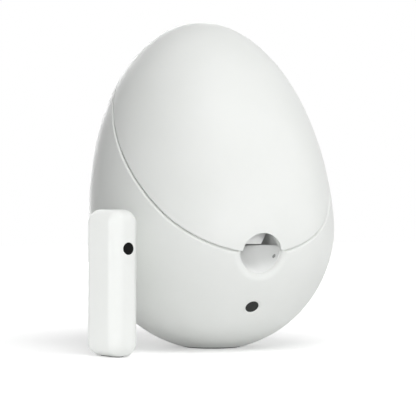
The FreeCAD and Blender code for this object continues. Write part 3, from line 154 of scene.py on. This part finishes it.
def soft_box(name, position, size, power, only=()):
    """Square area lamp in metres and watts; only names the CAD pieces that it lights."""
    lamp = bpy.data.lights.new(name, "AREA")
    lamp.shape = "SQUARE"
    lamp.size = size
    lamp.energy = power
    holder = bpy.data.objects.new(name, lamp)
    holder.location = position
    holder.rotation_euler = (lamp_aim - Vector(position)).to_track_quat("-Z", "Y").to_euler()
    scene.collection.objects.link(holder)
    if only:
        lit = bpy.data.collections.new(name + "_falls_on")
        for node in only:
            lit.objects.link(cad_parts[node])
        holder.light_linking.receiver_collection = lit


soft_box("front_low_lamp", (-0.3, -1.7, 0.05), 0.8, 21.0)
soft_box("right_lamp", (1.6, -0.5, 0.4), 1.0, 4.7)
soft_box("right_high_lamp", (1.1, -0.7, 1.1), 1.0, 1.0)
soft_box("front_high_lamp", (0.0, -0.9, 1.5), 1.0, 12.3)
soft_box("top_lamp", (0.0, 0.2, 1.7), 1.2, 4.0)
soft_box("left_lamp", (-1.7, 0.2, 0.5), 1.0, 1.8)
soft_box("rear_lamp", (0.3, 1.7, 0.5), 1.0, 9.0)
soft_box("side_lamp", (-1.6, 0.05, 0.15), 0.8, 13.0,
         only=("unit_case", "unit_bottom_cover", "unit_button"))
soft_box("exit_lamp", (-0.45, -1.2, 0.3), 0.3, 4.0,
         only=("chute", "treat_sensors"))


# ---- Egg shells ----------------------------------------------------------------------------------
# Base and lid of the egg: injection-moulded ABS about 3 mm thick, off-white, spark-eroded to a fine
# satin skin. The two meet along a slanted parting line with a rolled rim on the base.
def noise(tree, place, scale, detail=2.0, roughness=0.5):
    """Noise value over the object's own coordinates."""
    made = tree.nodes.new("ShaderNodeTexNoise")
    made.inputs["Scale"].default_value = scale
    made.inputs["Detail"].default_value = detail
    made.inputs["Roughness"].default_value = roughness
    tree.links.new(place, made.inputs["Vector"])
    return made.outputs["Fac"]


def spread(tree, value, low, high, start=0.3, end=0.7):
    """Value between start and end, drawn out to low..high; these are numbers or sockets."""
    made = tree.nodes.new("ShaderNodeMapRange")
    made.inputs["From Min"].default_value = start
    made.inputs["From Max"].default_value = end
    for socket, limit in (("To Min", low), ("To Max", high)):
        if isinstance(limit, (int, float)):
            made.inputs[socket].default_value = limit
        else:
            tree.links.new(limit, made.inputs[socket])
    tree.links.new(value, made.inputs["Value"])
    return made.outputs["Result"]


def blended(tree, share, first, second):
    """Two colours mixed by share; each is a colour or a socket."""
    made = tree.nodes.new("ShaderNodeMix")
    made.data_type = "RGBA"
    for socket, colour in (("A", first), ("B", second)):
        if isinstance(colour, tuple):
            made.inputs[socket].default_value = (*colour, 1)
        else:
            tree.links.new(colour, made.inputs[socket])
    tree.links.new(share, made.inputs["Factor"])
    return made.outputs["Result"]


def raised(tree, height, distance, strength):
    """Normal of a surface lifted by height times distance, in metres."""
    made = tree.nodes.new("ShaderNodeBump")
    made.inputs["Distance"].default_value = distance
    if isinstance(strength, (int, float)):
        made.inputs["Strength"].default_value = strength
    else:
        tree.links.new(strength, made.inputs["Strength"])
    tree.links.new(height, made.inputs["Height"])
    return made.outputs["Normal"]


def new_group(name, inputs):
    """Empty finish group: inputs by name and start value, with colour, roughness, normal out."""
    tree = bpy.data.node_groups.new(name, "ShaderNodeTree")
    for label, value in inputs:
        kind = "NodeSocketColor" if isinstance(value, tuple) else "NodeSocketFloat"
        socket = tree.interface.new_socket(label, in_out="INPUT", socket_type=kind)
        socket.default_value = (*value, 1) if isinstance(value, tuple) else value
    for label, kind in (("Color", "NodeSocketColor"), ("Roughness", "NodeSocketFloat"),
                        ("Normal", "NodeSocketVector")):
        tree.interface.new_socket(label, in_out="OUTPUT", socket_type=kind)
    given = tree.nodes.new("NodeGroupInput").outputs
    result = tree.nodes.new("NodeGroupOutput").inputs
    place = tree.nodes.new("ShaderNodeTexCoord").outputs["Object"]
    return tree, given, result, place


# Skin of a moulding: cloudy tone, uneven gloss and the fine grain of the mould.
moulded_skin, given, result, place = new_group("moulded_skin", (
    ("Tone", (0.8, 0.8, 0.8)), ("Other Tone", (0.7, 0.7, 0.7)), ("Gloss Low", 0.3),
    ("Gloss High", 0.45), ("Cloud Scale", 25.0), ("Grain Scale", 2500.0), ("Grain Depth", 0.1)))
tree = moulded_skin
cloud = tree.nodes.new("ShaderNodeTexNoise")
cloud.inputs["Detail"].default_value = 3.0
tree.links.new(place, cloud.inputs["Vector"])
tree.links.new(given["Cloud Scale"], cloud.inputs["Scale"])
cloudy = spread(tree, cloud.outputs["Fac"], 0.0, 1.0, 0.35, 0.65)
tree.links.new(blended(tree, cloudy, given["Tone"], given["Other Tone"]), result["Color"])
tree.links.new(spread(tree, noise(tree, place, 90.0, 4.0, 0.6), given["Gloss Low"],
                      given["Gloss High"]), result["Roughness"])
grain = tree.nodes.new("ShaderNodeTexNoise")
tree.links.new(place, grain.inputs["Vector"])
tree.links.new(given["Grain Scale"], grain.inputs["Scale"])
tree.links.new(raised(tree, grain.outputs["Fac"], 0.0001, given["Grain Depth"]), result["Normal"])


def finish_from(group, name, settings, sockets=()):
    """Material whose surface comes from a finish group; sockets are the shader's own constants."""
    material = bpy.data.materials.new(name)
    material.use_nodes = True
    tree = material.node_tree
    shader = tree.nodes["Principled BSDF"]
    for label, value in sockets:
        shader.inputs[label].default_value = value
    skin = tree.nodes.new("ShaderNodeGroup")
    skin.node_tree = group
    for label, value in settings:
        skin.inputs[label].default_value = (*value, 1) if isinstance(value, tuple) else value
    tree.links.new(skin.outputs["Color"], shader.inputs["Base Color"])
    tree.links.new(skin.outputs["Roughness"], shader.inputs["Roughness"])
    tree.links.new(skin.outputs["Normal"], shader.inputs["Normal"])
    return material


def moulding(name, tone, other, gloss, grain=(2500.0, 0.1), cloud=25.0, sockets=()):
    """Moulded plastic or rubber: two tones, range of roughness, scale and depth of the grain."""
    return finish_from(moulded_skin, name, (
        ("Tone", tone), ("Other Tone", other), ("Gloss Low", gloss[0]), ("Gloss High", gloss[1]),
        ("Cloud Scale", cloud), ("Grain Scale", grain[0]), ("Grain Depth", grain[1])), sockets)


def dress(material, *names):
    """Gives CAD pieces their material."""
    for name in names:
        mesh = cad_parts[name].data
        mesh.materials.clear()
        mesh.materials.append(material)


egg_white = moulding("egg_white_abs", (0.86, 0.875, 0.855), (0.845, 0.862, 0.84), (0.36, 0.44),
                     grain=(2500.0, 0.08), sockets=(("Specular IOR Level", 0.18),))
dress(egg_white, "base_shell", "lid_shell")

# ---- Treat exit ----------------------------------------------------------------------------------
# Chute, side plates, kicker flap and drum hood: thin matt ABS mouldings, white like the shell but
# with a coarser skin. The sensors in the chute's cheeks are smoked acrylic discs, pressed in.
inner_white = moulding("inner_white_abs", (0.88, 0.89, 0.88), (0.85, 0.86, 0.85), (0.45, 0.6),
                       grain=(1400.0, 0.2), sockets=(("Specular IOR Level", 0.35),))
dress(inner_white, "chute", "right_side_plate", "left_side_plate", "kicker_flap", "drum_hood")
grey_acrylic = moulding("grey_acrylic", (0.36, 0.37, 0.36), (0.31, 0.32, 0.31), (0.1, 0.2),
                        grain=(900.0, 0.0))
dress(grey_acrylic, "treat_sensors")

# ---- Treat tub and cowl --------------------------------------------------------------------------
# The tub that holds the treats and the cowl over the mechanism: food-safe matt ABS, the tub with
# shallow flow marks from its central gate. Four screws hold each to the base.
tub_white = moulding("tub_white_abs", (0.86, 0.87, 0.86), (0.82, 0.83, 0.82), (0.4, 0.55),
                     grain=(1400.0, 0.25), cloud=14.0)
dress(tub_white, "hopper", "mechanism_cowl")

# ---- Lid hinge, catch and seal -------------------------------------------------------------------
# A zinc-plated steel pin through three knuckles with a domed head at each end, nickel-plated disc
# magnets pressed into their seats, and a dark silicone lip that the lid closes on.
drawn_metal, given, result, place = new_group("drawn_metal", (
    ("Tone", (0.6, 0.6, 0.6)), ("Other Tone", (0.5, 0.5, 0.5)), ("Gloss Low", 0.2),
    ("Gloss High", 0.4), ("Scratch Scale", 900.0)))
tree = drawn_metal
stretch = tree.nodes.new("ShaderNodeMapping")
stretch.inputs["Scale"].default_value = (0.12, 1.0, 1.0)
tree.links.new(place, stretch.inputs["Vector"])
scratch = tree.nodes.new("ShaderNodeTexNoise")
scratch.inputs["Detail"].default_value = 4.0
tree.links.new(stretch.outputs["Vector"], scratch.inputs["Vector"])
tree.links.new(given["Scratch Scale"], scratch.inputs["Scale"])
dull = noise(tree, place, 160.0, 5.0, 0.65)
tree.links.new(blended(tree, dull, given["Tone"], given["Other Tone"]), result["Color"])
tree.links.new(spread(tree, dull, given["Gloss Low"], given["Gloss High"]), result["Roughness"])
tree.links.new(raised(tree, scratch.outputs["Fac"], 0.00003, 0.25), result["Normal"])


def metal(name, tone, other, gloss, scratches=900.0):
    """Drawn or plated metal: two tones, the roughness range and how fine the scratches are."""
    return finish_from(drawn_metal, name, (
        ("Tone", tone), ("Other Tone", other), ("Gloss Low", gloss[0]), ("Gloss High", gloss[1]),
        ("Scratch Scale", scratches)), (("Metallic", 1.0),))


sharp_edge_degrees = 35


def turned(name, profile, place, body, material, steps=64):
    """A piece turned about the z axis of place from (radius, height) points in millimetres."""
    form = bmesh.new()
    points = [form.verts.new((radius / 1000, 0, height / 1000)) for radius, height in profile]
    edges = [form.edges.new(pair) for pair in zip(points, points[1:])]
    if profile[0][0] > 0:
        edges.append(form.edges.new((points[-1], points[0])))
    bmesh.ops.spin(form, geom=points + edges, cent=(0, 0, 0), axis=(0, 0, 1), angle=math.tau,
                   steps=steps, use_merge=True)
    bmesh.ops.remove_doubles(form, verts=form.verts, dist=1e-6)
    bmesh.ops.recalc_face_normals(form, faces=form.faces)
    bmesh.ops.transform(form, matrix=place, verts=form.verts)
    return placed_piece(name, form, body, material)


def placed_piece(name, form, body, material):
    """Turns a finished bmesh into a smooth-shaded piece that rides a body."""
    mesh = bpy.data.meshes.new(name)
    form.to_mesh(mesh)
    form.free()
    mesh.shade_smooth()
    mesh.set_sharp_from_angle(angle=math.radians(sharp_edge_degrees))
    mesh.materials.append(material)
    piece = bpy.data.objects.new(name, mesh)
    scene.collection.objects.link(piece)
    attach(piece, body)
    return piece


zinc_steel = metal("zinc_plated_steel", (0.62, 0.62, 0.64), (0.52, 0.52, 0.54), (0.25, 0.4))
nickel = metal("nickel_plate", (0.74, 0.73, 0.71), (0.66, 0.65, 0.63), (0.12, 0.25))
dress(zinc_steel, "lid_hinge_pin")
dress(nickel, "lid_magnets", "base_magnets")
dark_silicone = moulding("dark_silicone", (0.06, 0.06, 0.063), (0.085, 0.085, 0.088), (0.55, 0.75),
                         grain=(1800.0, 0.3), cloud=60.0)
dress(dark_silicone, "lid_seal")

pin_low, pin_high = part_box("lid_hinge_pin")
pin_head = ((0, 0.65), (0.8, 0.58), (1.5, 0.32), (1.85, -0.05), (1.85, -0.25), (0, -0.25))
pin_centre = (Vector(pin_low) + Vector(pin_high)) / 2
for side, label in ((1, "right"), (-1, "left")):
    end = Vector((side * pin_high[0], pin_centre.y, pin_centre.z))
    turned("hinge_pin_head_" + label, pin_head,
           Matrix.Translation(end) @ Matrix.Rotation(math.radians(90 * side), 4, "Y"),
           "base", zinc_steel, steps=32)

# ---- Feed drum -----------------------------------------------------------------------------------
# A pocketed drum of grey polypropylene on a steel shaft in sintered bronze bushings, driven through
# two spur gears of natural acetal. A silicone wiper strips loose treats off its rim.
drum_grey = moulding("drum_polypropylene", (0.55, 0.57, 0.59), (0.48, 0.5, 0.52), (0.35, 0.5),
                     grain=(1600.0, 0.15), sockets=(("Subsurface Weight", 0.1),))
dress(drum_grey, "treat_drum")
acetal = moulding("natural_acetal", (0.84, 0.82, 0.75), (0.8, 0.78, 0.7), (0.22, 0.32),
                  grain=(2200.0, 0.05))
dress(acetal, "drum_gear", "feed_pinion")
oiled_bronze = metal("sintered_bronze", (0.55, 0.38, 0.18), (0.4, 0.26, 0.12), (0.35, 0.55), 2400.0)
dress(oiled_bronze, "drum_bushings")
dress(zinc_steel, "drum_shaft")
dress(dark_silicone, "drum_wiper")

# ---- Feed motor and kicker servo -----------------------------------------------------------------
# A small can motor in drawn steel turns the pinion, and a micro servo in black glass-filled nylon
# swings the flap. Both are screwed to the side plates.
black_nylon = moulding("black_nylon", (0.035, 0.035, 0.038), (0.055, 0.055, 0.058), (0.4, 0.58),
                       grain=(1200.0, 0.4), cloud=70.0)
dress(zinc_steel, "feed_motor", "feed_motor_shaft", "kicker_shaft")
dress(black_nylon, "kicker_servo")

# ---- Egg camera ----------------------------------------------------------------------------------
# A charcoal window set in a shallow dish in the shell, in front of a black lens barrel on its own
# small printed board.
charcoal_window = moulding("charcoal_window", (0.02, 0.021, 0.02), (0.026, 0.027, 0.026),
                           (0.12, 0.2), grain=(900.0, 0.0), sockets=(("Specular IOR Level", 0.22),))
dress(charcoal_window, "camera_window")
lens_black = moulding("lens_black", (0.014, 0.014, 0.016), (0.02, 0.02, 0.022), (0.15, 0.3),
                      grain=(1500.0, 0.1), sockets=(("Coat Weight", 0.5), ("Coat Roughness", 0.05)))
dress(lens_black, "camera_lens")

# Solder mask over copper tracks that run in two directions.
printed_board, given, result, place = new_group("printed_board", (
    ("Mask Tone", (0.02, 0.18, 0.1)), ("Track Tone", (0.05, 0.3, 0.17)), ("Track Scale", 220.0)))
tree = printed_board
runs = []
for direction in ("X", "Z"):
    wave = tree.nodes.new("ShaderNodeTexWave")
    wave.bands_direction = direction
    tree.links.new(place, wave.inputs["Vector"])
    tree.links.new(given["Track Scale"], wave.inputs["Scale"])
    runs.append(spread(tree, wave.outputs["Fac"], 0.0, 1.0, 0.78, 0.86))
turn = spread(tree, noise(tree, place, 180.0, 0.0), 0.0, 1.0, 0.49, 0.51)
routed = tree.nodes.new("ShaderNodeMix")
tree.links.new(turn, routed.inputs["Factor"])
tree.links.new(runs[0], routed.inputs["A"])
tree.links.new(runs[1], routed.inputs["B"])
tree.links.new(blended(tree, routed.outputs["Result"], given["Mask Tone"], given["Track Tone"]),
               result["Color"])
tree.links.new(spread(tree, routed.outputs["Result"], 0.3, 0.22, 0.0, 1.0), result["Roughness"])
tree.links.new(raised(tree, routed.outputs["Result"], 0.00005, 0.6), result["Normal"])
green_board = finish_from(printed_board, "green_board", (("Mask Tone", (0.015, 0.15, 0.08)),
                                                         ("Track Tone", (0.04, 0.27, 0.15))))
dress(green_board, "camera_board")


# ---- Speaker -------------------------------------------------------------------------------------
# A 32 mm driver behind the round grille in the rear wall: black frame, pulp cone with a rolled
# surround and a dust cap. Black cloth, glued inside the wall, closes the grille's holes.
egg_centre = Vector((0, 0, 0.0818))
egg_radius = 0.084


def on_wall(drop, turn):
    """Place on the rear wall, drop and turn in degrees: z outwards, origin on the skin."""
    drop = math.radians(drop)
    turn = math.radians(turn)
    outward = Vector((math.sin(turn) * math.cos(drop), math.cos(turn) * math.cos(drop),
                      -math.sin(drop)))
    facing = outward.to_track_quat("Z", "Y").to_matrix().to_4x4()
    return Matrix.Translation(egg_centre + outward * egg_radius) @ facing


speaker_place = on_wall(20.0, 0.0)
dress(black_nylon, "speaker")
cone_pulp = moulding("cone_pulp", (0.03, 0.03, 0.032), (0.06, 0.06, 0.06), (0.7, 0.85),
                     grain=(700.0, 0.6), cloud=200.0)
turned("speaker_cone", ((0, -4.7), (2.6, -4.95), (4.9, -5.9), (5.2, -6.15), (11.0, -5.45),
                        (11.5, -5.3), (12.2, -4.75), (13.2, -4.75), (13.9, -5.3), (14.3, -6.2),
                        (14.3, -6.4), (0, -6.4)),
       speaker_place, "base", cone_pulp)
grille_cloth = moulding("grille_cloth", (0.02, 0.02, 0.022), (0.045, 0.045, 0.047), (0.85, 0.95),
                        grain=(2600.0, 0.8), cloud=1500.0)
turned("grille_cloth", ((0, -3.05), (3, -3.11), (6, -3.27), (9, -3.55), (9, -3.8), (6, -3.52),
                        (3, -3.36), (0, -3.3)), speaker_place, "base", grille_cloth)

# ---- Power socket --------------------------------------------------------------------------------
# A round low-voltage socket in black nylon low on the rear wall, inside a raised moulded ring.
dress(black_nylon, "power_jack")
turned("power_ring", ((4.47, -0.7), (4.47, -0.02), (4.7, 0.13), (5.7, 0.07), (6.2, -0.12),
                      (6.35, -0.32), (6.35, -0.7)), on_wall(50.0, 0.0), "base",
       egg_white)

# ---- Pairing button and status light -------------------------------------------------------------
# A sprung grey cap over a tact switch, inside a raised ring, and beside it a clear light pipe. Both
# work on a small printed board.
soft_grey = moulding("soft_grey_abs", (0.5, 0.51, 0.51), (0.46, 0.47, 0.47), (0.5, 0.62),
                     grain=(2000.0, 0.2))
dress(soft_grey, "pair_button")
dress(black_nylon, "pair_switch")
dress(green_board, "button_board")
clear_pipe = moulding("clear_light_pipe", (0.86, 0.92, 0.9), (0.8, 0.88, 0.86), (0.12, 0.25),
                      grain=(900.0, 0.05), sockets=(("Transmission Weight", 0.55), ("IOR", 1.49)))
dress(clear_pipe, "status_light")
turned("button_ring", ((3.72, -0.6), (3.72, -0.05), (3.9, 0.1), (4.5, 0.06), (4.9, -0.1),
                       (5.0, -0.2), (5.0, -0.6)), on_wall(40.0, 24.0), "base",
       egg_white, steps=48)

# ---- Main board ----------------------------------------------------------------------------------
# Green glass-epoxy board on four posts behind the tub. Its chips are the part that stands off the
# board's inner face: black epoxy, with the same fine relief as the board.
board_inner_face = 0.0689          # y in metres; the chips lie in front of it
chip_black = (0.025, 0.025, 0.027)
main_board = green_board.copy()
main_board.name = "main_board_green"
tree = main_board.node_tree
shader = tree.nodes["Principled BSDF"]
depth = tree.nodes.new("ShaderNodeSeparateXYZ")
tree.links.new(tree.nodes.new("ShaderNodeTexCoord").outputs["Object"], depth.inputs["Vector"])
chip_face = tree.nodes.new("ShaderNodeMath")
chip_face.operation = "LESS_THAN"
chip_face.inputs[1].default_value = board_inner_face
tree.links.new(depth.outputs["Y"], chip_face.inputs[0])
board_colour = shader.inputs["Base Color"].links[0].from_socket
tree.links.new(blended(tree, chip_face.outputs["Value"], board_colour, chip_black),
               shader.inputs["Base Color"])
dress(main_board, "main_board")

# ---- Ballast and foot ----------------------------------------------------------------------------
# A cast-iron disc keeps the egg upright. Under it a rubber foot with ring-shaped ridges is glued
# into the flat.
cast_iron = moulding("cast_iron", (0.12, 0.12, 0.125), (0.18, 0.175, 0.17), (0.55, 0.75),
                     grain=(450.0, 1.0), cloud=60.0, sockets=(("Metallic", 0.7),))
dress(cast_iron, "ballast_weight")
foot_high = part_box("foot_pad")[1]
foot_radius = foot_high[0] * 1000
foot_top = foot_high[2] * 1000
groove_depth = 0.35
ridge_count = 5
ridge_pitch = 3.8
ridge_width = 2.8
ridge_bevel = 0.3
first_ridge = 1.6
rim_bevel = 0.4
foot_profile = [(0, groove_depth)]
for ridge in range(ridge_count):
    start = first_ridge + ridge * ridge_pitch
    end = start + ridge_width
    foot_profile += [(start, groove_depth), (start + ridge_bevel, 0), (end - ridge_bevel, 0),
                     (end, groove_depth)]
foot_profile += [(foot_radius - rim_bevel, groove_depth),
                 (foot_radius, groove_depth + ridge_bevel), (foot_radius, foot_top), (0, foot_top)]
foot_ridges = turned("foot_ridges", foot_profile, Matrix.Identity(4), "base",
                     dark_silicone, steps=96)
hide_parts("foot_pad")

# ---- Camera unit's case --------------------------------------------------------------------------
# A slim upright case moulded in one piece of brighter white ABS, closed from below by a screwed
# cover with a rubber pad.
unit_white = moulding("unit_white_abs", (0.87, 0.885, 0.865), (0.86, 0.873, 0.853), (0.4, 0.48),
                      grain=(2500.0, 0.06), sockets=(("Specular IOR Level", 0.25),))
dress(unit_white, "unit_case", "unit_bottom_cover")
dress(dark_silicone, "unit_foot_pad")

# ---- Camera unit's lens --------------------------------------------------------------------------
# A round black window flush with the case, over the lens barrel.
smoked_acrylic = moulding("smoked_acrylic", (0.006, 0.006, 0.006), (0.008, 0.008, 0.008),
                          (0.05, 0.09), grain=(900.0, 0.0), sockets=(("Specular IOR Level", 0.06),))
dress(smoked_acrylic, "unit_window")
dress(lens_black, "unit_lens")

# ---- Camera unit's button and port ---------------------------------------------------------------
# The power button's cap is moulded in the case's ABS and works a tact switch. The charging port is
# a pressed steel shell.
dress(unit_white, "unit_button")
dress(black_nylon, "unit_switch")
dress(zinc_steel, "unit_port")

# ---- Camera unit's insides -----------------------------------------------------------------------
# A black nylon sled slides in from below with the printed board and a sleeved lithium cell.
dress(black_nylon, "unit_sled")
dress(green_board, "unit_board")
blue_sleeve = moulding("battery_sleeve", (0.03, 0.12, 0.34), (0.04, 0.15, 0.4), (0.2, 0.3),
                       grain=(600.0, 0.15), cloud=90.0)
dress(blue_sleeve, "unit_battery")

# ---- Screws --------------------------------------------------------------------------------------
# Zinc-plated pan-head screws that cut their own thread in the moulded posts. They hold the tub,
# cowl, chute, plates, boards, drives, speaker, ballast and the camera unit's cover.
dress(zinc_steel, *[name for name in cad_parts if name.endswith("screws")])

# ---- End -----------------------------------------------------------------------------------------
# Colours render as they are written, under the plain view transform.
scene.view_settings.view_transform = "Standard"
